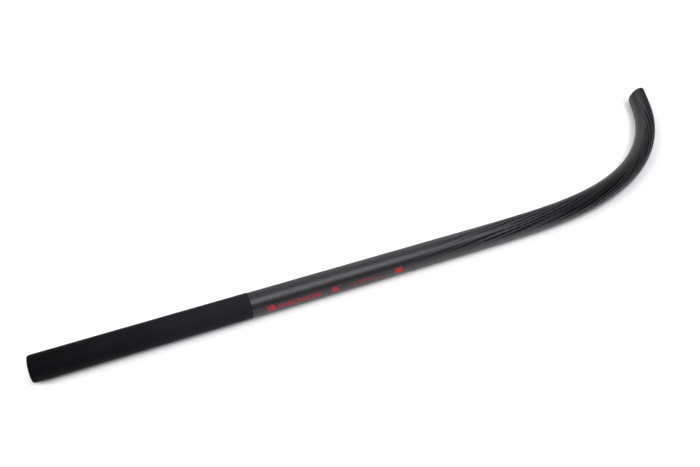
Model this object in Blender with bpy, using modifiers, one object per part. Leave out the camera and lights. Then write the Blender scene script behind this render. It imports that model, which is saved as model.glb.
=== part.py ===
"""Bait throwing stick: a hollow carbon tube, straight in the handle half and
bent to a hook at the muzzle, with a thin rubber grip sleeve and a rubber bung
that closes the butt.

Frame: metres, +Z up.  The stick lies on its side, so the bend is in the
horizontal plane.  The handle runs along +X from the butt, and the muzzle turns
towards +Y.  The origin is the bottom centre of the whole object's box.
"""
import math

import bmesh
import bpy
from mathutils import Matrix, Vector

# ---------------------------------------------------------------- dimensions
BLANK_OD = 0.0240          # outer diameter of the carbon tube
BLANK_WALL = 0.0010        # its wall, so the bore is 22 mm
BLANK_LENGTH = 0.8910      # developed length along the centre line, butt to muzzle
BEND_START = 0.4190        # developed length where the tube starts to curve
BEND_FULL = 0.6970         # developed length where it is bent the most
BEND_RADIUS = 0.2930       # tightest radius of the centre line
MUZZLE_EASE = 0.0570       # the curve eases out to straight over this last length
MUZZLE_SLANT = math.radians(36.0)   # slant of the muzzle cut, outer lip longer
BEND_PITCH = 0.0120        # spacing of the rings round the bend
SIDES = 32                 # sides of every round piece

GRIP_LENGTH = 0.1930       # grip sleeve, butt rim to its front edge
GRIP_WALL = 0.00018        # thin shrunk-on rubber skin
GRIP_GAP = 0.00006         # modelling gap to the tube, the real sleeve is tight
RIM_THICKNESS = 0.0012     # the skin is rolled over the tube's end
RIM_ROUND = 0.0007         # rounding of the rolled rim
RIM_LAND = 0.00025         # inner rounding of the rim, as a chamfer

BUNG_LENGTH = 0.0240       # rubber bung in the butt
BUNG_RADIUS = 0.01068      # over its three sealing ribs
BUNG_CORE = 0.01030        # between the ribs
BUNG_INSET = 0.0           # outer face flush with the rim
BUNG_RIB = 0.0024          # width of a rib
BUNG_POCKET_RADIUS = 0.0070    # finger pocket in the outer face
BUNG_POCKET_DEPTH = 0.0150
PAD_RADIUS = 0.0104        # soft disc on the bung's inner face
PAD_THICKNESS = 0.0080
PAD_GAP = 0.0003

TUBE_R = BLANK_OD / 2
BORE_R = TUBE_R - BLANK_WALL
GRIP_R = TUBE_R + GRIP_GAP + GRIP_WALL
BLANK_FROM = RIM_THICKNESS + GRIP_GAP      # the tube's end lies behind the rim


# ------------------------------------------------------------ the centre line
def smooth(u):
    u = min(1.0, max(0.0, u))
    return u * u * (3.0 - 2.0 * u)


def curvature(s):
    """Curvature at developed length s: nothing in the handle, rising to the
    tightest radius, then easing out just behind the muzzle."""
    rise = smooth((s - BEND_START) / (BEND_FULL - BEND_START))
    fall = 1.0 - smooth((s - (BLANK_LENGTH - MUZZLE_EASE)) / MUZZLE_EASE)
    return rise * fall / BEND_RADIUS


def centre_line(stations, step=0.0005):
    """Points (x, y) and headings at the given developed lengths."""
    out = []
    s = x = y = heading = 0.0
    for target in stations:
        while s < target - 1e-9:
            h = min(step, target - s)
            mid = heading + curvature(s + h / 2) * h / 2
            x += math.cos(mid) * h
            y += math.sin(mid) * h
            heading += curvature(s + h / 2) * h
            s += h
        out.append((x, y, heading))
    return out


def ring_stations():
    count = math.ceil((BLANK_LENGTH - BEND_START) / BEND_PITCH)
    pitch = (BLANK_LENGTH - BEND_START) / count
    return ([BLANK_FROM, BEND_START * 0.5]
            + [BEND_START + i * pitch for i in range(count + 1)])


# -------------------------------------------------------------------- helpers
def clear_scene():
    for ob in list(bpy.data.objects):
        bpy.data.objects.remove(ob, do_unlink=True)


def collection(name):
    col = bpy.data.collections.get(name) or bpy.data.collections.new(name)
    if name not in bpy.context.scene.collection.children:
        bpy.context.scene.collection.children.link(col)
    return col


def material(name, colour, roughness, metallic=0.0):
    mat = bpy.data.materials.new(name)
    mat.use_nodes = True
    shader = mat.node_tree.nodes["Principled BSDF"]
    shader.inputs["Base Color"].default_value = (*colour, 1.0)
    shader.inputs["Roughness"].default_value = roughness
    shader.inputs["Metallic"].default_value = metallic
    mat.diffuse_color = (*colour, 1.0)
    return mat


def smooth_shade(mesh, angle=40.0):
    mesh.shade_smooth()
    mesh.set_sharp_from_angle(angle=math.radians(angle))


def turned(name, profile, mat, col, parent):
    """A turned piece: a closed (radius, axial) profile swept about local Z,
    with local Z laid along world +X."""
    mesh = bpy.data.meshes.new(name)
    bm = bmesh.new()
    verts = [bm.verts.new((r, 0.0, a)) for r, a in profile]
    for a, b in zip(verts, verts[1:] + verts[:1]):
        if a.co.x > 1e-7 or b.co.x > 1e-7:
            bm.edges.new((a, b))
    bm.to_mesh(mesh)
    bm.free()
    ob = bpy.data.objects.new(name, mesh)
    col.objects.link(ob)
    ob.parent = parent
    ob.rotation_euler = (0.0, math.pi / 2, 0.0)
    screw = ob.modifiers.new("turn", "SCREW")
    screw.axis = "Z"
    screw.angle = 2 * math.pi
    screw.steps = SIDES
    screw.render_steps = SIDES
    screw.use_merge_vertices = True
    screw.merge_threshold = 0.00001
    screw.use_normal_calculate = True
    screw.use_smooth_shade = True
    ob.data.materials.append(mat)
    return ob


# ---------------------------------------------------------------------- build
clear_scene()
parts = collection("throwing_stick")
cutters = collection("throwing_stick_cutters")

carbon = material("carbon_laminate", (0.035, 0.036, 0.040), 0.38)
rubber = material("grip_rubber", (0.012, 0.012, 0.013), 0.80)
bung_rubber = material("bung_rubber", (0.008, 0.008, 0.009), 0.70)
foam = material("stop_foam", (0.030, 0.030, 0.032), 0.95)

frame = bpy.data.objects.new("stick_frame", None)
parts.objects.link(frame)

# The handle's axis: the moving bung is parented to an empty on it.
bung_axis = bpy.data.objects.new("bung_axis", None)
parts.objects.link(bung_axis)
bung_axis.parent = frame

# Carbon tube: a bevelled curve along the centre line, opened at its ends,
# thickened inwards, and cut on the slant at the muzzle.
overrun = TUBE_R * math.tan(MUZZLE_SLANT) + 0.004
line = centre_line(ring_stations())
end_x, end_y, end_heading = line[-1]
line.append((end_x + overrun * math.cos(end_heading),
             end_y + overrun * math.sin(end_heading), end_heading))

data = bpy.data.curves.new("blank_line", "CURVE")
data.dimensions = "3D"
data.twist_mode = "Z_UP"
data.bevel_depth = TUBE_R
data.bevel_resolution = (SIDES - 4) // 2
data.use_fill_caps = False
spline = data.splines.new("POLY")
spline.points.add(len(line) - 1)
for point, (x, y, _) in zip(spline.points, line):
    point.co = (x, y, 0.0, 1.0)
guide = bpy.data.objects.new("blank_line", data)
parts.objects.link(guide)
bpy.context.view_layer.update()
depsgraph = bpy.context.evaluated_depsgraph_get()
mesh = bpy.data.meshes.new_from_object(guide.evaluated_get(depsgraph))
mesh.name = "carbon_blank"
bm = bmesh.new()
bm.from_mesh(mesh)
bmesh.ops.remove_doubles(bm, verts=bm.verts, dist=0.00001)
bmesh.ops.recalc_face_normals(bm, faces=bm.faces)
# the normals of an open tube point away from its centre line
face = bm.faces[0]
nearest = min(line, key=lambda p: (face.calc_center_median()
                                   - Vector((p[0], p[1], 0.0))).length)
# faces of the first span are compared with the handle's own axis
out = face.calc_center_median()
foot = Vector((out.x, 0.0, 0.0)) if out.x < BEND_START else Vector((nearest[0], nearest[1], 0.0))
if face.normal.dot(out - foot) < 0:
    bmesh.ops.reverse_faces(bm, faces=bm.faces)
bm.to_mesh(mesh)
bm.free()
smooth_shade(mesh)
blank = bpy.data.objects.new("carbon_blank", mesh)
blank.matrix_world = guide.matrix_world
parts.objects.link(blank)
bpy.data.objects.remove(guide, do_unlink=True)
blank.parent = frame
blank.data.materials.clear()
blank.data.materials.append(carbon)

wall = blank.modifiers.new("wall", "SOLIDIFY")
wall.thickness = BLANK_WALL
wall.offset = -1.0
wall.use_even_offset = True
wall.use_rim = True

bpy.ops.mesh.primitive_cube_add(size=1.0)
cutter = bpy.context.active_object
cutter.name = "muzzle_cutter"
for owner in list(cutter.users_collection):
    owner.objects.unlink(cutter)
cutters.objects.link(cutter)
cutter.hide_render = True
cutter.display_type = "WIRE"
# The cutter's near face passes through the muzzle's centre.  Its normal is the
# tube's heading turned by the slant towards the inside of the bend.
cut_heading = end_heading + MUZZLE_SLANT
box = Matrix.Diagonal((0.06, 0.08, 0.06, 1.0))
place = (Matrix.Translation((end_x, end_y, 0.0))
         @ Matrix.Rotation(cut_heading, 4, "Z")
         @ Matrix.Translation((0.03, 0.0, 0.0)) @ box)
cutter.data.transform(place)
cutter.parent = frame
slant = blank.modifiers.new("muzzle_cut", "BOOLEAN")
slant.operation = "DIFFERENCE"
slant.solver = "EXACT"
slant.object = cutter

# Grip sleeve: a thin skin over the handle, rolled over the tube's butt end.
corner = [(GRIP_R - RIM_ROUND + RIM_ROUND * math.sin(a), RIM_ROUND - RIM_ROUND * math.cos(a))
          for a in (math.radians(15.0 * i) for i in range(7))]
sleeve_profile = ([(BORE_R + 0.00005 + RIM_LAND, 0.0)] + corner
                  + [(GRIP_R, GRIP_LENGTH - 0.0004), (GRIP_R - 0.00014, GRIP_LENGTH),
                     (TUBE_R + GRIP_GAP, GRIP_LENGTH),
                     (TUBE_R + GRIP_GAP, RIM_THICKNESS),
                     (BORE_R + 0.00005, RIM_THICKNESS),
                     (BORE_R + 0.00005, RIM_LAND)])
sleeve = turned("grip_sleeve", sleeve_profile, rubber, parts, frame)

# Butt bung: a rubber plug with three sealing ribs and a finger pocket.
def bung_profile():
    points = [(BUNG_POCKET_RADIUS, BUNG_INSET), (BUNG_CORE - 0.0004, BUNG_INSET),
              (BUNG_CORE, BUNG_INSET + 0.0004)]
    ribs = 3
    first = BUNG_INSET + 0.0040
    spacing = (BUNG_LENGTH - 0.0080) / (ribs - 1)
    for i in range(ribs):
        mid = first + i * spacing
        points += [(BUNG_CORE, mid - BUNG_RIB / 2), (BUNG_RADIUS, mid),
                   (BUNG_CORE, mid + BUNG_RIB / 2)]
    end = BUNG_INSET + BUNG_LENGTH
    points += [(BUNG_CORE, end - 0.0010), (BUNG_CORE - 0.0010, end), (0.0, end),
               (0.0, BUNG_INSET + BUNG_POCKET_DEPTH),
               (BUNG_POCKET_RADIUS - 0.0015, BUNG_INSET + BUNG_POCKET_DEPTH),
               (BUNG_POCKET_RADIUS, BUNG_INSET + BUNG_POCKET_DEPTH - 0.0015)]
    return points


bung = turned("butt_bung", bung_profile(), bung_rubber, parts, bung_axis)

# Bait stop pad: a soft disc stuck to the bung's inner face.
pad_from = BUNG_INSET + BUNG_LENGTH + PAD_GAP
bpy.ops.mesh.primitive_cylinder_add(vertices=SIDES, radius=PAD_RADIUS, depth=PAD_THICKNESS)
pad = bpy.context.active_object
pad.name = pad.data.name = "bait_stop_pad"
for owner in list(pad.users_collection):
    owner.objects.unlink(pad)
parts.objects.link(pad)
pad.data.materials.append(foam)
pad.rotation_euler = (0.0, math.pi / 2, 0.0)
pad.location = (pad_from + PAD_THICKNESS / 2, 0.0, 0.0)
pad.parent = bung_axis
edge = pad.modifiers.new("edge", "BEVEL")
edge.width = 0.0008
edge.segments = 2
edge.limit_method = "ANGLE"
edge.angle_limit = math.radians(60.0)
smooth_shade(pad.data)

# Stand the whole object on its own box: bottom centre at the origin.
bpy.context.view_layer.update()
depsgraph = bpy.context.evaluated_depsgraph_get()
low = Vector((1e9, 1e9, 1e9))
high = -low
for ob in (blank, sleeve, bung, pad):
    seen = ob.evaluated_get(depsgraph)
    shape = seen.to_mesh()
    for vert in shape.vertices:
        place = ob.matrix_world @ vert.co
        for i in range(3):
            low[i] = min(low[i], place[i])
            high[i] = max(high[i], place[i])
    seen.to_mesh_clear()
frame.location = (-(low.x + high.x) / 2, -(low.y + high.y) / 2, -low.z)
bpy.context.view_layer.update()
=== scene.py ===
import math

import bpy
import numpy as np
from mathutils import Matrix, Vector


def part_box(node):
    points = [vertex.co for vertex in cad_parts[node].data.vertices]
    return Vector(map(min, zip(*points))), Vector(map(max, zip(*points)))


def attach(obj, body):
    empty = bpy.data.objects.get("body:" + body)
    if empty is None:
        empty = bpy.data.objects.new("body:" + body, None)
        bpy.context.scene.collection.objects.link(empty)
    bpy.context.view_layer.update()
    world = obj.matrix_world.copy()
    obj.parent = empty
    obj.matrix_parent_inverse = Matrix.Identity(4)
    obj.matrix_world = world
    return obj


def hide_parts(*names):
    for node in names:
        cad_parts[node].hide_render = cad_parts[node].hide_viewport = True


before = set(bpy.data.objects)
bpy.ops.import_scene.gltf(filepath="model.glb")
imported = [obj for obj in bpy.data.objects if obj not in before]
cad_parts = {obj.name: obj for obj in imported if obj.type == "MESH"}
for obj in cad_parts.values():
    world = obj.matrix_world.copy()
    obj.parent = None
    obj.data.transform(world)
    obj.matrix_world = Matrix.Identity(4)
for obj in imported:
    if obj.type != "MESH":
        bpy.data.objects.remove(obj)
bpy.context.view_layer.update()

scene = bpy.context.scene

# ------------------------------------------------------------- sizes (metres)
# The same centre-line rule as the CAD: straight handle, curvature rising to
# the tightest radius, easing out to straight at the muzzle.
TUBE_R = 0.0120
BORE_R = 0.0110
LENGTH = 0.8910
BEND_START, BEND_FULL, BEND_RADIUS, EASE = 0.4190, 0.6970, 0.2930, 0.0570
SLANT = math.tan(math.radians(36.0))
GRIP_R = 0.01224
GRIP_LENGTH = 0.1930
RIM = 0.0012

grip_low, grip_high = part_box("grip_sleeve")
bung_low, bung_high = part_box("butt_bung")
pad_low, pad_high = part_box("bait_stop_pad")
X0 = grip_low[0]                                  # butt rim plane
Y0 = (grip_low[1] + grip_high[1]) / 2             # handle axis
Z0 = (grip_low[2] + grip_high[2]) / 2


def smooth(u):
    u = np.clip(u, 0.0, 1.0)
    return u * u * (3.0 - 2.0 * u)


def curvature(s):
    rise = smooth((s - BEND_START) / (BEND_FULL - BEND_START))
    fall = 1.0 - smooth((s - (LENGTH - EASE)) / EASE)
    return rise * fall / BEND_RADIUS


STEP = 0.00025
S_TAB = np.arange(0.0, LENGTH + 0.02, STEP)
K_MID = curvature(S_TAB[:-1] + STEP / 2)
H_TAB = np.concatenate([[0.0], np.cumsum(K_MID) * STEP])
H_MID = (H_TAB[:-1] + H_TAB[1:]) / 2
X_TAB = np.concatenate([[0.0], np.cumsum(np.cos(H_MID)) * STEP])
Y_TAB = np.concatenate([[0.0], np.cumsum(np.sin(H_MID)) * STEP])


def on_tube(s, phi, r):
    """World points at developed length s, angle phi (from the inside of the
    bend towards +Z) and radius r."""
    s, phi, r = np.broadcast_arrays(s, phi, r)
    x = np.interp(s, S_TAB, X_TAB)
    y = np.interp(s, S_TAB, Y_TAB)
    h = np.interp(s, S_TAB, H_TAB)
    c = r * np.cos(phi)
    return np.stack([X0 + x - c * np.sin(h), Y0 + y + c * np.cos(h),
                     Z0 + r * np.sin(phi)], -1)


# ----------------------------------------------- surface relief of the carbon
RIB_PITCH = 0.0027
TWIST = 2 * math.pi / 0.90        # the flutes turn once in this length
rng = np.random.default_rng(20)
WAVES = [(n, a, rng.uniform(0, 2 * math.pi), rng.uniform(3.0, 9.0),
          rng.uniform(0, 2 * math.pi))
         for n, a in ((9, 0.25), (13, 0.40), (17, 0.70), (20, 1.0), (23, 0.95),
                      (26, 0.7), (29, 0.40))]


def twist_phase(s):
    """Accumulated twist of the flutes at developed length s."""
    return TWIST * (s - 0.42) * (1.0 + 0.45 * smooth((s - 0.47) / 0.4))


def flute_amount(s, phi):
    """Where the flutes run: they start on the upper side part-way along the
    straight, reach full depth in the bend and stay on its outer side."""
    ramp = 0.22 * smooth((s - 0.330) / 0.07) + 0.78 * smooth((s - 0.385) / 0.10)
    low = (math.radians(45) + math.radians(48) * smooth((s - 0.50) / 0.13)
           - math.radians(46) * smooth((s - 0.70) / 0.13))
    high = math.radians(176) + math.radians(62) * smooth((s - 0.52) / 0.12)
    soft = math.radians(28)
    window = smooth((phi - low) / soft) * smooth((high - phi) / soft)
    fade = 1.0 - 0.25 * smooth((s - 0.82) / 0.06)
    return ramp * window * fade


def groove(s, phi):
    """0 on the broad lands, 1 in the narrow valleys between them."""
    psi = phi + twist_phase(s)
    total = 0.0
    for n, a, p, k, q in WAVES:
        total = total + a * np.sin(n * psi + p + 0.8 * np.sin(k * s * 2 * math.pi + q))
    return 0.5 - 0.5 * np.tanh(1.5 * (total / 1.3 + 0.25))


def flute(s, phi):
    """Shallow twisted flutes cut into the round."""
    return -0.00055 * groove(s, phi) * flute_amount(s, phi)


def rib(s, phi):
    """Fine ribs left by the wrapping tape, one helix along the tube."""
    wave = np.cos(2 * math.pi * (s / RIB_PITCH + phi / (2 * math.pi)))
    start = smooth((s - GRIP_LENGTH - 0.0002) / 0.0012)
    fade = 1.0 - smooth((s - 0.50) / 0.10)
    uneven = 0.70 + 0.30 * np.sin(3 * phi + 41.0 * s) * np.sin(67.0 * s + phi)
    return 0.000032 * wave * start * fade * uneven


def skin(s, phi):
    lift = flute(s, phi) + rib(s, phi)
    return TUBE_R + lift * smooth((s - GRIP_LENGTH) / 0.002) * \
        (1.0 - smooth((s - (LENGTH - 0.0035)) / 0.0030) * 0.6)


# -------------------------------------------------------------------- helpers
def link(ob):
    scene.collection.objects.link(ob)
    return ob


def grid_mesh(name, points, uv_tube, uv_bake, wrap_rows=False):
    """A closed-round grid of rings (rows) by sides (columns); points is
    (rows, sides, 3), the UV arrays are (rows - 1, sides, 4, 2) per face."""
    rows, sides, _ = points.shape
    mesh = bpy.data.meshes.new(name)
    i = np.arange(rows - 1)[:, None]
    j = np.arange(sides)[None, :]
    a = i * sides + j
    b = i * sides + (j + 1) % sides
    c = (i + 1) * sides + (j + 1) % sides
    d = (i + 1) * sides + j
    faces = np.stack([a, d, c, b], -1).reshape(-1, 4)
    mesh.vertices.add(rows * sides)
    mesh.vertices.foreach_set("co", points.reshape(-1).astype(np.float32))
    mesh.loops.add(faces.size)
    mesh.loops.foreach_set("vertex_index", faces.reshape(-1).astype(np.int32))
    mesh.polygons.add(len(faces))
    mesh.polygons.foreach_set("loop_start", np.arange(0, faces.size, 4, dtype=np.int32))
    mesh.polygons.foreach_set("loop_total", np.full(len(faces), 4, dtype=np.int32))
    mesh.update(calc_edges=True)
    for layer, data in (("tube", uv_tube), ("OFBake", uv_bake)):
        uv = mesh.uv_layers.new(name=layer)
        uv.data.foreach_set("uv", data.reshape(-1).astype(np.float32))
    mesh.shade_smooth()
    mesh.validate()
    return mesh


def face_uv(row_u, col_v):
    """Per-face corner UVs (a, d, c, b) from row values u0, u1 and column
    values v0, v1."""
    u0, u1 = row_u
    v0, v1 = col_v
    u0, u1, v0, v1 = np.broadcast_arrays(u0[:, None], u1[:, None], v0[None, :], v1[None, :])
    return np.stack([np.stack([u0, v0], -1), np.stack([u1, v0], -1),
                     np.stack([u1, v1], -1), np.stack([u0, v1], -1)], 2)


class Graph:
    """Small helper that wires shader nodes."""

    def __init__(self, name):
        self.mat = bpy.data.materials.new(name)
        self.mat.use_nodes = True
        self.tree = self.mat.node_tree
        self.shader = self.tree.nodes["Principled BSDF"]

    def put(self, socket, value):
        if isinstance(value, bpy.types.NodeSocket):
            self.tree.links.new(value, socket)
        elif isinstance(value, (tuple, list)) and len(value) == 3 and socket.type == "RGBA":
            socket.default_value = (*value, 1.0)
        else:
            socket.default_value = value

    def node(self, kind, **props):
        n = self.tree.nodes.new(kind)
        for key, value in props.items():
            setattr(n, key, value)
        return n

    def math(self, op, a, b=0.0, c=0.0, clamp=False):
        n = self.node("ShaderNodeMath", operation=op, use_clamp=clamp)
        for k, v in enumerate((a, b, c)):
            self.put(n.inputs[k], v)
        return n.outputs[0]

    def ramp(self, value, lo, hi, out_lo=0.0, out_hi=1.0):
        n = self.node("ShaderNodeMapRange", interpolation_type="SMOOTHSTEP")
        for key, v in (("Value", value), ("From Min", lo), ("From Max", hi),
                       ("To Min", out_lo), ("To Max", out_hi)):
            self.put(n.inputs[key], v)
        return n.outputs["Result"]

    def uv(self, name):
        n = self.node("ShaderNodeUVMap", uv_map=name)
        split = self.node("ShaderNodeSeparateXYZ")
        self.put(split.inputs[0], n.outputs[0])
        return split.outputs[0], split.outputs[1]

    def xyz(self, x, y, z):
        n = self.node("ShaderNodeCombineXYZ")
        for k, v in enumerate((x, y, z)):
            self.put(n.inputs[k], v)
        return n.outputs[0]

    def noise(self, vector, scale, detail=3.0, rough=0.55, distort=0.0):
        n = self.node("ShaderNodeTexNoise", noise_dimensions="3D")
        for key, v in (("Vector", vector), ("Scale", scale), ("Detail", detail),
                       ("Roughness", rough), ("Distortion", distort)):
            self.put(n.inputs[key], v)
        return n.outputs[0]

    def mix(self, factor, a, b):
        n = self.node("ShaderNodeMix", data_type="RGBA", blend_type="MIX")
        self.put(n.inputs[0], factor)
        self.put(n.inputs[6], a)
        self.put(n.inputs[7], b)
        return n.outputs[2]

    def bump(self, height, strength, distance, normal=None):
        n = self.node("ShaderNodeBump")
        self.put(n.inputs["Height"], height)
        self.put(n.inputs["Strength"], strength)
        self.put(n.inputs["Distance"], distance)
        if normal is not None:
            self.put(n.inputs["Normal"], normal)
        return n.outputs["Normal"]

    def finish(self, **sockets):
        for key, value in sockets.items():
            self.put(self.shader.inputs[key.replace("_", " ")], value)
        return self.mat


def round_coords(g, r, stretch=1.0, twist=None):
    """Seamless coordinates on a round piece: (s * stretch, r cos, r sin), from
    the UV layer called tube (s in metres, angle in turns)."""
    s, turn = g.uv("tube")
    angle = g.math("MULTIPLY", turn, 2 * math.pi)
    if twist is not None:
        angle = g.math("ADD", angle, twist(s))
    x = g.math("MULTIPLY", s, stretch)
    y = g.math("MULTIPLY", g.math("COSINE", angle), r)
    z = g.math("MULTIPLY", g.math("SINE", angle), r)
    return g.xyz(x, y, z), s, turn


# ----------------------------------------------------------- carbon laminate
def carbon_material():
    g = Graph("carbon_laminate")

    def twist(s):
        return g.math("MULTIPLY", g.math("SUBTRACT", s, 0.45), TWIST * 1.12)

    plain, s, turn = round_coords(g, TUBE_R)
    along, _, _ = round_coords(g, TUBE_R, stretch=0.045, twist=twist)
    angle = g.math("MULTIPLY", turn, 2 * math.pi)

    streak = g.noise(along, 520.0, 3.0, 0.55)
    broad = g.noise(along, 120.0, 2.0, 0.5)
    cloud = g.noise(plain, 34.0, 3.0, 0.6)
    grain = g.noise(plain, 2600.0, 2.0, 0.6)
    tow = g.noise(round_coords(g, TUBE_R, stretch=0.12)[0], 1500.0, 2.0, 0.6)

    # where along the tube, and which side of the bend
    fluted = g.ramp(s, 0.33, 0.49)
    bent = g.ramp(s, 0.47, 0.66)
    outer = g.math("MULTIPLY_ADD", g.math("COSINE", g.math("SUBTRACT", angle, 0.35)), -0.5, 0.5)
    streaky = g.math("MULTIPLY", fluted, g.math("SUBTRACT", 1.0, g.math(
        "MULTIPLY", bent, g.math("SUBTRACT", 0.9, g.math("MULTIPLY", outer, 0.9)))))

    # the wrapping tape's ribs, in step with the mesh
    turns = g.math("ADD", g.math("DIVIDE", s, RIB_PITCH), turn)
    ribs = g.math("COSINE", g.math("MULTIPLY", turns, 2 * math.pi))
    rib_fade = g.math("SUBTRACT", 1.0, g.math("MULTIPLY", g.ramp(s, 0.52, 0.70), 0.80))
    broken = g.ramp(g.noise(plain, 300.0, 3.0, 0.6), 0.36, 0.60, 0.15, 1.0)
    rib_amount = g.math("MULTIPLY", g.math("MULTIPLY", ribs, rib_fade), broken)

    tone = g.math("MULTIPLY_ADD", g.math("SUBTRACT", cloud, 0.5), 0.30, 0.38)
    tone = g.math("MULTIPLY_ADD", g.math("MULTIPLY", g.math("SUBTRACT", streak, 0.5), streaky),
                  2.4, tone)
    tone = g.math("MULTIPLY_ADD", g.math("SUBTRACT", tow, 0.5), 0.30, tone)
    relief = g.node("ShaderNodeAttribute", attribute_name="relief").outputs["Fac"]
    # valley feeds the metallic below, which darkens the reflection in the flute valleys: painted shade in the valleys
    valley = g.math("MULTIPLY", g.math("MINIMUM", relief, 0.0), -1.5, clamp=True)
    # darker base colour through the bend: painted shade
    tone = g.math("MULTIPLY_ADD", g.ramp(s, 0.49, 0.62), -0.21, tone)
    # flute lands lighter and valleys darker in colour: painted shade in the valleys
    tone = g.math("MULTIPLY_ADD", relief, 0.50, tone)
    # rib crests lighter and troughs darker in colour: painted shade between the ribs
    tone = g.math("MULTIPLY_ADD", rib_amount, 0.32, tone, clamp=True)
    colour = g.mix(tone, (0.0011, 0.0008, 0.0015), (0.0250, 0.0220, 0.0270))
    # rubbed, slightly greyer lip at the muzzle
    worn = g.math("MULTIPLY", g.ramp(s, LENGTH - 0.006, LENGTH + 0.004),
                  g.ramp(g.noise(plain, 500.0, 3.0, 0.6), 0.42, 0.62))
    colour = g.mix(g.math("MULTIPLY", worn, 0.35), colour, (0.060, 0.060, 0.062))

    rough = g.math("MULTIPLY_ADD", g.math("SUBTRACT", cloud, 0.5), 0.10, 0.385)
    rough = g.math("MULTIPLY_ADD", g.math("SUBTRACT", grain, 0.5), 0.06, rough)
    rough = g.math("MULTIPLY_ADD", g.ramp(s, 0.58, 0.78), 0.15, rough)
    rough = g.math("MULTIPLY_ADD", rib_amount, -0.11, rough)
    rough = g.math("MULTIPLY_ADD", relief, -0.09, rough)
    rough = g.math("MULTIPLY_ADD", worn, 0.15, rough, clamp=True)

    lines = g.math("MULTIPLY", g.math("SUBTRACT", streak, 0.5), streaky)
    height = g.math("MULTIPLY", lines, 1.0)
    height = g.math("MULTIPLY_ADD", g.math("SUBTRACT", broad, 0.5), g.math("MULTIPLY", streaky, 0.8), height)
    height = g.math("MULTIPLY_ADD", g.math("SUBTRACT", tow, 0.5), 0.05, height)
    height = g.math("MULTIPLY_ADD", g.math("SUBTRACT", grain, 0.5), 0.02, height)
    # metallic raised on the stretched outside of the bend darkens its reflection there: painted shade on that side
    outer_bend_painted_shade = g.math("MULTIPLY", g.math("MULTIPLY", g.ramp(s, 0.48, 0.60), 0.80),
                     g.ramp(outer, 0.38, 0.86))
    normal = g.bump(height, 0.70, 0.00030)
    normal = g.bump(rib_amount, 1.0, 0.000026, normal)
    g.shader.inputs["Specular IOR Level"].default_value = 0.42
    # metallic: painted shade in the flute valleys and on the outside of the bend
    return g.finish(Base_Color=colour, Roughness=rough, Normal=normal,
                    Metallic=g.math("MULTIPLY_ADD", valley, 0.95, outer_bend_painted_shade, clamp=True))


def rubber_material(name, dark, light, rough, level, sheen, rim=0.0):
    g = Graph(name)
    plain, s, turn = round_coords(g, GRIP_R)
    cloud = g.noise(plain, 26.0, 3.0, 0.6)
    fine = g.noise(plain, 1500.0, 3.0, 0.65)
    pores = g.noise(plain, 4200.0, 2.0, 0.6)
    scuff = g.ramp(g.noise(round_coords(g, GRIP_R, stretch=0.35)[0], 160.0, 4.0, 0.65),
                   0.56, 0.74)
    # tone rises from the butt towards the front: painted light, the butt end painted darker
    front_painted_light = g.ramp(s, -0.005, GRIP_LENGTH + 0.045)
    edge = g.ramp(s, GRIP_LENGTH - 0.0016, GRIP_LENGTH)
    tone = g.math("MULTIPLY_ADD", front_painted_light, 0.74, g.math("MULTIPLY", g.math("SUBTRACT", cloud, 0.5), 0.45))
    tone = g.math("MULTIPLY_ADD", g.math("SUBTRACT", fine, 0.5), 0.35, tone)
    tone = g.math("MULTIPLY_ADD", scuff, 0.14, tone)
    # the rolled butt edge is painted darker by rim: painted shade on the butt end
    tone = g.math("MULTIPLY_ADD", g.ramp(s, 0.0004, 0.0036), rim, g.math("SUBTRACT", tone, rim))
    tone = g.math("MULTIPLY_ADD", edge, 0.20, tone, clamp=True)
    colour = g.mix(tone, dark, light)
    r = g.math("MULTIPLY_ADD", g.math("SUBTRACT", cloud, 0.5), 0.10, rough)
    r = g.math("MULTIPLY_ADD", g.math("SUBTRACT", fine, 0.5), 0.12, r)
    r = g.math("MULTIPLY_ADD", scuff, -0.05, r, clamp=True)
    height = g.math("MULTIPLY_ADD", g.math("SUBTRACT", fine, 0.5), 0.7,
                    g.math("MULTIPLY", g.math("SUBTRACT", pores, 0.5), 0.4))
    normal = g.bump(height, 0.45, 0.00006)
    g.shader.inputs["Specular IOR Level"].default_value = level
    g.shader.inputs["Sheen Weight"].default_value = sheen
    g.shader.inputs["Sheen Roughness"].default_value = 0.45
    return g.finish(Base_Color=colour, Roughness=r, Normal=normal)


def foam_material():
    g = Graph("stop_foam")
    coord = g.node("ShaderNodeTexCoord").outputs["Object"]
    cells = g.node("ShaderNodeTexVoronoi", feature="F1")
    g.put(cells.inputs["Vector"], coord)
    g.put(cells.inputs["Scale"], 1500.0)
    pit = g.ramp(cells.outputs["Distance"], 0.05, 0.55)
    cloud = g.noise(coord, 220.0, 3.0, 0.6)
    # the pits between the foam cells are painted darker: painted shade in the hollows
    tone = g.math("MULTIPLY_ADD", pit, 0.7, g.math("MULTIPLY", cloud, 0.3), clamp=True)
    colour = g.mix(tone, (0.040, 0.040, 0.042), (0.014, 0.014, 0.015))
    rough = g.math("MULTIPLY_ADD", cloud, 0.12, 0.84, clamp=True)
    normal = g.bump(g.math("SUBTRACT", 1.0, pit), 0.7, 0.00012)
    return g.finish(Base_Color=colour, Roughness=rough, Normal=normal)


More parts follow.
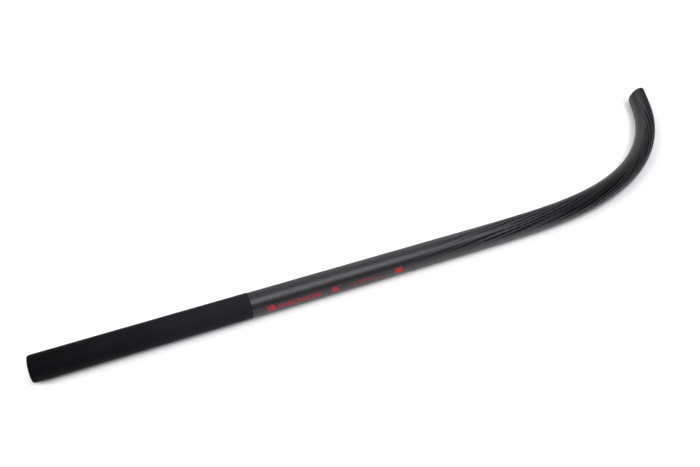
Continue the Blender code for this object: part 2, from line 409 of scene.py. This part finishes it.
def print_material():
    g = Graph("print_red")
    coord = g.node("ShaderNodeTexCoord").outputs["Object"]
    patch = g.noise(coord, 260.0, 4.0, 0.65)
    grain = g.noise(coord, 3200.0, 2.0, 0.6)
    rubbed = g.ramp(patch, 0.60, 0.76)
    tone = g.math("MULTIPLY_ADD", g.math("SUBTRACT", grain, 0.5), 0.35,
                  g.math("MULTIPLY", patch, 0.6), clamp=True)
    colour = g.mix(tone, (0.31, 0.010, 0.015), (0.45, 0.018, 0.024))
    colour = g.mix(g.math("MULTIPLY", rubbed, 0.35), colour, (0.16, 0.018, 0.020))
    rough = g.math("MULTIPLY_ADD", g.math("SUBTRACT", grain, 0.5), 0.12,
                   g.math("MULTIPLY_ADD", rubbed, 0.14, 0.44), clamp=True)
    normal = g.bump(grain, 0.25, 0.00003)
    g.shader.inputs["Specular IOR Level"].default_value = 0.20
    return g.finish(Base_Color=colour, Roughness=rough, Normal=normal)


CARBON = carbon_material()
# rim=0.30 paints shade on the grip's rolled butt edge
GRIP = rubber_material("grip_rubber", (0.0004, 0.0006, 0.0012), (0.0165, 0.0178, 0.0226), 0.74, level=0.07, sheen=0.025, rim=0.30)
BUNG = rubber_material("bung_rubber", (0.0025, 0.0025, 0.0030), (0.0120, 0.0120, 0.0128), 0.62, level=0.22, sheen=0.05)
FOAM = foam_material()
RED = print_material()


# ------------------------------------------------------------ the carbon tube
def build_blank():
    sides = 90
    hidden = np.array([0.00126, 0.0040, 0.03, 0.07, 0.11, 0.15, 0.178, 0.1916])
    fine = np.concatenate([np.arange(0.1922, 0.5999, 0.00056), np.arange(0.6000, 0.6999, 0.0011)])
    coarse = np.arange(0.7000, LENGTH - 0.0016, 0.00135)
    edge = np.array([LENGTH - 0.0012, LENGTH - 0.0007, LENGTH - 0.00035])
    outer_s = np.concatenate([hidden, fine, coarse, edge])
    phi = np.arange(sides) / sides * 2 * math.pi

    def sheared(s, r):
        """The station moves along the tube so that the mouth is cut on the
        slant, the outer lip longer."""
        w = smooth((s - (LENGTH - 0.050)) / 0.050)
        w = w * 1.0
        return s - r * np.cos(phi)[None, :] * SLANT * w

    rows = []
    s_rows = []
    s = outer_s[:, None]
    s_eff = sheared(s, TUBE_R)
    r = skin(s_eff, phi[None, :])
    outer_eff = s_eff
    rows.append(on_tube(s_eff, phi[None, :], r))
    s_rows.append(outer_s)
    # rounded lip: outer edge, cut face, inner edge
    e = 0.00022
    lip = []
    for a in (15, 35, 55, 75, 90):
        t = math.radians(a)
        lip.append((TUBE_R - e + e * math.cos(t), -e + e * math.sin(t)))
    lip.append(((TUBE_R + BORE_R) / 2, 0.0))
    for a in (90, 75, 55, 35, 15, 0):
        t = math.radians(a)
        lip.append((BORE_R + e - e * math.cos(t), -e + e * math.sin(t)))
    for radius, back in lip:
        se = LENGTH + back - radius * np.cos(phi)[None, :] * SLANT
        lift = (skin(np.full_like(se, LENGTH - 0.0004), phi[None, :]) - TUBE_R) * \
            max(0.0, (radius - BORE_R) / (TUBE_R - BORE_R))
        rows.append(on_tube(se, phi[None, :], radius + lift))
        s_rows.append(np.array([LENGTH + back]))
    # the bore, back to the butt end
    bore_s = np.concatenate([
        [LENGTH - 0.0010, LENGTH - 0.003],
        np.arange(LENGTH - 0.007, BEND_START, -0.0062),
        np.linspace(BEND_START, 0.034, 14), [0.012, 0.0026]])
    s = bore_s[:, None]
    rows.append(on_tube(sheared(s, BORE_R), phi[None, :], np.full((len(bore_s), sides), BORE_R)))
    s_rows.append(bore_s)
    # butt end face, closing on the first ring
    rows.append(on_tube(np.full((1, sides), 0.00126), phi[None, :], np.full((1, sides), BORE_R)))
    s_rows.append(np.array([0.00126]))
    rows.append(rows[0][:1])
    s_rows.append(np.array([0.00126]))
    points = np.concatenate(rows)
    stations = np.concatenate(s_rows)

    n = len(points) - 1
    v0 = np.arange(sides) / sides
    v1 = (np.arange(sides) + 1) / sides
    uv_tube = face_uv((stations[:-1], stations[1:]), (v0, v1))
    # unwrap: four strips for the exposed outside, a thin one for the rest
    bake = np.zeros((n, sides, 4, 2))
    first = len(hidden) - 1
    last = len(outer_s) - 1
    cuts = [first] + [first + int(np.argmin(np.abs(outer_s[first:] - c)))
                      for c in (0.367, 0.541, 0.716)] + [last]
    for k in range(4):
        a, b = cuts[k], cuts[k + 1]
        lo, hi = outer_s[a], outer_s[b]
        u = (outer_s[a:b + 1] - lo) / (hi - lo) * 0.988 + 0.006
        base = 0.006 + k * 0.232
        bake[a:b] = face_uv((u[:-1], u[1:]), (base + v0 * 0.222, base + v1 * 0.222))
    rest = list(range(0, first)) + list(range(last, n))
    u = np.linspace(0.006, 0.994, len(rest) + 1)
    bake[rest] = face_uv((u[:-1], u[1:]), (0.938 + v0 * 0.055, 0.938 + v1 * 0.055))

    mesh = grid_mesh("carbon_tube", points, uv_tube, bake)
    # how far each point stands on a land (+) or in a valley (-)
    relief = np.zeros((len(points), sides))
    reach = len(outer_s)
    relief[:reach] = ((1.0 - 2.0 * groove(outer_eff, phi[None, :]))
                      * flute_amount(outer_eff, phi[None, :]))
    mesh.attributes.new("relief", "FLOAT", "POINT").data.foreach_set(
        "value", relief.reshape(-1).astype(np.float32))
    # weld the closing ring onto the first one
    import bmesh
    bm = bmesh.new()
    bm.from_mesh(mesh)
    bmesh.ops.remove_doubles(bm, verts=bm.verts, dist=1e-7)
    bm.to_mesh(mesh)
    bm.free()
    mesh.shade_smooth()
    mesh.set_sharp_from_angle(angle=math.radians(50))
    mesh.materials.append(CARBON)
    return link(bpy.data.objects.new("carbon_tube", mesh))


# -------------------------------------------------------- turned round pieces
def turned(name, profile, sides, material, closed=True, wave=None):
    """A turned piece about the handle axis: profile is (radius, axial) with
    the axial distance from the butt rim plane.  Each profile corner is already
    rounded by its points."""
    prof = np.array(profile)
    phi = np.arange(sides) / sides * 2 * math.pi
    rad = np.repeat(prof[:, :1], sides, axis=1)
    axial = np.repeat(prof[:, 1:], sides, axis=1)
    if wave is not None:
        rad = rad + wave(axial, phi[None, :])
    points = np.stack([X0 + axial,
                       Y0 + rad * np.cos(phi)[None, :],
                       Z0 + rad * np.sin(phi)[None, :]], -1)
    length = np.concatenate([[0.0], np.cumsum(np.hypot(*np.diff(prof, axis=0).T))])
    v0 = np.arange(sides) / sides
    v1 = (np.arange(sides) + 1) / sides
    uv_tube = face_uv((prof[:-1, 1], prof[1:, 1]), (v0, v1))
    u = length / length[-1] * 0.988 + 0.006
    uv_bake = face_uv((u[:-1], u[1:]), (0.006 + v0 * 0.988, 0.006 + v1 * 0.988))
    mesh = grid_mesh(name, points, uv_tube, uv_bake)
    import bmesh
    bm = bmesh.new()
    bm.from_mesh(mesh)
    bmesh.ops.remove_doubles(bm, verts=bm.verts, dist=1e-7)
    bmesh.ops.dissolve_degenerate(bm, edges=bm.edges, dist=1e-8)
    bmesh.ops.recalc_face_normals(bm, faces=bm.faces)
    bm.to_mesh(mesh)
    bm.free()
    mesh.shade_smooth()
    mesh.set_sharp_from_angle(angle=math.radians(48))
    mesh.materials.append(material)
    return link(bpy.data.objects.new(name, mesh))


def arc(cx, cy, r, a0, a1, n):
    """Points (radius, axial) on an arc, angles in degrees: 0 is outwards,
    90 is towards the muzzle."""
    return [(cx + r * math.cos(math.radians(a0 + (a1 - a0) * i / n)),
             cy + r * math.sin(math.radians(a0 + (a1 - a0) * i / n))) for i in range(n + 1)]


def build_grip():
    inner = TUBE_R + 0.00006
    profile = [(BORE_R + 0.00012, 0.0)]
    # the skin rolls over the butt edge in a long soft round
    for k in range(13):
        t = math.radians(-90 + 7.5 * k)
        profile.append((GRIP_R - 0.00094 + 0.00094 * math.cos(t), 0.0022 + 0.0022 * math.sin(t)))
    steps = np.arange(0.0034, GRIP_LENGTH - 0.0009, 0.0016)
    profile += [(GRIP_R, float(a)) for a in steps]
    profile += [(GRIP_R, GRIP_LENGTH - 0.0006), (GRIP_R, GRIP_LENGTH - 0.00020)]
    profile += [(GRIP_R - 0.00004, GRIP_LENGTH - 0.00008), (GRIP_R - 0.00010, GRIP_LENGTH),
                (inner, GRIP_LENGTH), (inner, 0.104), (inner, RIM),
                (BORE_R + 0.00005, RIM), (BORE_R + 0.00005, 0.00007), (BORE_R + 0.00012, 0.0)]

    def wave(a, phi):
        """Slight unevenness of the shrunk skin, kept inside its wall."""
        mask = (a > 0.0030) & (a < GRIP_LENGTH - 0.0004)
        ripple = (np.sin(a * 310.0 + 1.3 * np.sin(phi)) * np.sin(2 * phi + a * 37.0) * 0.5
                  + np.sin(5 * phi + 23.0 * a) * 0.3 + np.sin(a * 95.0 + 2 * phi) * 0.5)
        return np.where(mask, 0.000022 * ripple, 0.0)

    prof = np.array(profile)
    outside = prof[:, 0] > GRIP_R - 0.00001

    def outer_wave(a, phi):
        return wave(a, phi) * outside[:, None]

    return turned("grip_skin", profile, 96, GRIP, wave=outer_wave)


def build_bung():
    core, rib_r, pocket, depth, length = 0.01030, 0.01068, 0.0070, 0.0150, 0.0240
    p = [(0.0, depth)]
    p += [(pocket - 0.0015 - 0.003, depth)]
    p += arc(pocket - 0.0015, depth - 0.0015, 0.0015, 90, 0, 6)
    p += [(pocket, 0.0100), (pocket, 0.0040), (pocket, 0.0009)]
    p += arc(pocket + 0.0006, 0.0006, 0.0006, 180, 270, 5)        # mouth of the pocket
    p += [(0.0084, 0.0)]
    # a shallow ring groove in the face
    p += [(0.0086, 0.00003), (0.0088, 0.00020), (0.0090, 0.00020), (0.0092, 0.00003), (0.0094, 0.0)]
    p += arc(core - 0.0005, 0.0005, 0.0005, -90, 0, 5)
    first, spacing = 0.0040, (length - 0.0080) / 2
    for i in range(3):
        mid = first + i * spacing
        p.append((core, mid - 0.0013))
        for k in range(-5, 6):
            p.append((core + (rib_r - core) * math.cos(k / 5 * math.pi / 2) ** 1.3,
                      mid + k / 5 * 0.0012))
        p.append((core, mid + 0.0013))
    p += arc(core - 0.0010, length - 0.0010, 0.0010, 0, 90, 5)
    p += [(0.0060, length), (0.0, length)]
    return turned("bung_plug", p, 96, BUNG)


def build_pad():
    a = pad_low[0] - X0
    b = pad_high[0] - X0
    r = (pad_high[1] - pad_low[1]) / 2
    e = 0.0009
    p = [(0.0, a), (0.004, a), (0.008, a)]
    p += arc(r - e, a + e, e, -90, 0, 5)
    p += [(r - 0.00010, (a + b) / 2 - 0.001), (r - 0.00012, (a + b) / 2), (r - 0.00010, (a + b) / 2 + 0.001)]
    p += arc(r - e, b - e, e, 0, 90, 5)
    p += [(0.008, b - 0.0001), (0.004, b - 0.0002), (0.0, b - 0.00025)]
    return turned("stop_pad", p, 72, FOAM)


# ------------------------------------------------- the printed bars, as a skin
def build_print():
    """Plain bars and blocks on the outside of the handle half: thin closed
    patches that follow the tube's surface."""
    import bmesh
    bm = bmesh.new()
    lift, sink = 0.000045, 0.000060

    def patch(s0, s1, w0, w1, lean=0.0, corner=0.0):
        """A block from s0 to s1 along the tube and w0 to w1 (metres) round
        it, measured from the outside line; lean shears it along s."""
        nu = max(2, int(round((s1 - s0) / 0.00045)))
        nv = max(2, int(round((w1 - w0) / 0.00060)))
        top, bottom = [], []
        for j in range(nv + 1):
            w = w0 + (w1 - w0) * j / nv
            inset = 0.0
            if corner:
                d = min(w - w0, w1 - w)
                if d < corner:
                    inset = corner - math.sqrt(max(0.0, corner ** 2 - (corner - d) ** 2))
            row_t, row_b = [], []
            for i in range(nu + 1):
                s = s0 + inset + (s1 - s0 - 2 * inset) * i / nu + lean * (w - (w0 + w1) / 2)
                phi = math.pi + w / TUBE_R
                r = float(skin(np.array(s), np.array(phi)))
                row_t.append(bm.verts.new(on_tube(s, phi, r + lift).tolist()))
                row_b.append(bm.verts.new(on_tube(s, phi, r - sink).tolist()))
            top.append(row_t)
            bottom.append(row_b)
        for j in range(nv):
            for i in range(nu):
                bm.faces.new((top[j][i], top[j][i + 1], top[j + 1][i + 1], top[j + 1][i]))
                bm.faces.new((bottom[j][i], bottom[j + 1][i], bottom[j + 1][i + 1], bottom[j][i + 1]))
        for i in range(nu):
            bm.faces.new((top[0][i], bottom[0][i], bottom[0][i + 1], top[0][i + 1]))
            bm.faces.new((top[nv][i], top[nv][i + 1], bottom[nv][i + 1], bottom[nv][i]))
        for j in range(nv):
            bm.faces.new((top[j][0], top[j + 1][0], bottom[j + 1][0], bottom[j][0]))
            bm.faces.new((top[j][nu], bottom[j][nu], bottom[j + 1][nu], top[j + 1][nu]))

    mm = 0.001
    lean = 0.22
    # block of two bars behind the grip
    patch(0.2074, 0.2086, -4.4 * mm, 4.4 * mm, lean)
    patch(0.2096, 0.2150, -4.4 * mm, 4.4 * mm, lean, corner=1.6 * mm)
    # row of leaning bars
    start, pitch = 0.2186, 0.00300
    for k in range(15):
        wide = 0.0019 if k % 3 == 0 else 0.0012
        patch(start + k * pitch, start + k * pitch + wide, -2.9 * mm, 2.9 * mm, lean)
    # square block with a small satellite
    patch(0.2729, 0.2790, -3.6 * mm, 3.8 * mm, 0.10, corner=1.4 * mm)
    patch(0.2798, 0.2811, -4.6 * mm, -3.2 * mm, 0.10)
    # thin leaning line, then two rows of short dashes
    patch(0.2967, 0.2972, -3.4 * mm, 3.4 * mm, 0.30)
    for k in range(7):
        a = 0.3003 + k * 0.0027
        patch(a, a + 0.0014, -2.5 * mm, -1.0 * mm, lean)
    for k in range(13):
        a = 0.3001 + k * 0.0027
        patch(a, a + 0.0013, 0.7 * mm, 1.9 * mm, lean)
    # round-cornered block that ends the row
    patch(0.3412, 0.3498, -4.4 * mm, 4.4 * mm, 0.08, corner=2.4 * mm)

    bmesh.ops.recalc_face_normals(bm, faces=bm.faces)
    mesh = bpy.data.meshes.new("print_bars")
    bm.to_mesh(mesh)
    bm.free()
    mesh.shade_smooth()
    mesh.set_sharp_from_angle(angle=math.radians(40))
    mesh.materials.append(RED)
    return link(bpy.data.objects.new("print_bars", mesh))


blank = build_blank()
grip = build_grip()
plug = build_bung()
stop = build_pad()
bars = build_print()

for piece, body, slot in ((blank, "stick", "carbon_laminate"), (grip, "stick", "grip_rubber"),
                          (plug, "bung", "bung_rubber"), (stop, "bung", "stop_foam"),
                          (bars, "stick", "print_red")):
    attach(piece, body)
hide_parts("carbon_blank")
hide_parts("grip_sleeve")
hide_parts("butt_bung")
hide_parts("bait_stop_pad")

# ------------------------------------------------------------ floor and light
floor_mesh = bpy.data.meshes.new("floor")
floor_mesh.from_pydata([(-6, -6, 0), (6, -6, 0), (6, 6, 0), (-6, 6, 0)], [], [(0, 1, 2, 3)])
floor = link(bpy.data.objects.new("floor", floor_mesh))
g = Graph("floor_paper")
paper = g.noise(g.node("ShaderNodeTexCoord").outputs["Object"], 3.0, 2.0, 0.5)
g.finish(Base_Color=g.mix(paper, (0.86, 0.86, 0.86), (0.88, 0.88, 0.88)), Roughness=0.9)
g.shader.inputs["Specular IOR Level"].default_value = 0.0
floor_mesh.materials.append(g.mat)

world = bpy.data.worlds.new("studio")
scene.world = world
world.use_nodes = True
world.node_tree.nodes["Background"].inputs[0].default_value = (1.0, 1.0, 1.0, 1.0)
world.node_tree.nodes["Background"].inputs[1].default_value = 0.13


def area(name, place, target, width, height, radiance, colour=(1.0, 1.0, 1.0)):
    data = bpy.data.lights.new(name, "AREA")
    data.shape = "RECTANGLE"
    data.size = width
    data.size_y = height
    data.energy = radiance * math.pi * width * height
    data.color = colour
    ob = link(bpy.data.objects.new(name, data))
    z = (Vector(place) - Vector(target)).normalized()
    x = Vector((1.0, 0.0, 0.0))
    x = (x - z * x.dot(z)).normalized()
    y = z.cross(x)
    ob.matrix_world = Matrix(((x.x, y.x, z.x, place[0]), (x.y, y.y, z.y, place[1]),
                              (x.z, y.z, z.z, place[2]), (0, 0, 0, 1)))
    return ob


# a long soft box above the camera's side, broad pale panels behind, and one to
# the left that only lights the floor
area("soft_box", (0.48, -1.12, 2.69), (0.05, -0.05, 0.0), 2.56, 2.08, 4.9,
     colour=(0.985, 0.955, 1.0))
area("top_panel", (0.80, 1.70, 4.20), (0.05, 0.0, 0.0), 4.0, 2.2, 1.0,
     colour=(0.985, 0.955, 1.0))
area("far_panel", (1.90, 4.60, 2.70), (0.10, 0.0, 0.05), 2.8, 3.0, 1.9,
     colour=(0.985, 0.955, 1.0))
area("left_panel", (-4.0, 0.2, 2.7), (-0.1, 0.0, 0.0), 3.8, 3.8, 5.0)

# ------------------------------------------------------------------- the view
cam_data = bpy.data.cameras.new("camera")
cam_data.sensor_fit = "HORIZONTAL"
cam_data.sensor_width = 36.0
cam_data.lens = 32.95823
cam_data.clip_start = 0.01
cam_data.clip_end = 60.0
camera = link(bpy.data.objects.new("camera", cam_data))
right = (0.9149488373, -0.4017656644, 0.0381179229)
up = (0.2469416026, 0.6320538163, 0.7345255736)
back = (-0.3191997337, -0.6626404185, 0.6775095614)
eye = (-0.3165575, -0.4790862, 0.4759950)
camera.matrix_world = Matrix(((right[0], up[0], back[0], eye[0]),
                              (right[1], up[1], back[1], eye[1]),
                              (right[2], up[2], back[2], eye[2]), (0, 0, 0, 1)))
scene.camera = camera
scene.view_settings.view_transform = "Standard"
scene.view_settings.look = "None"

bpy.context.view_layer.update()
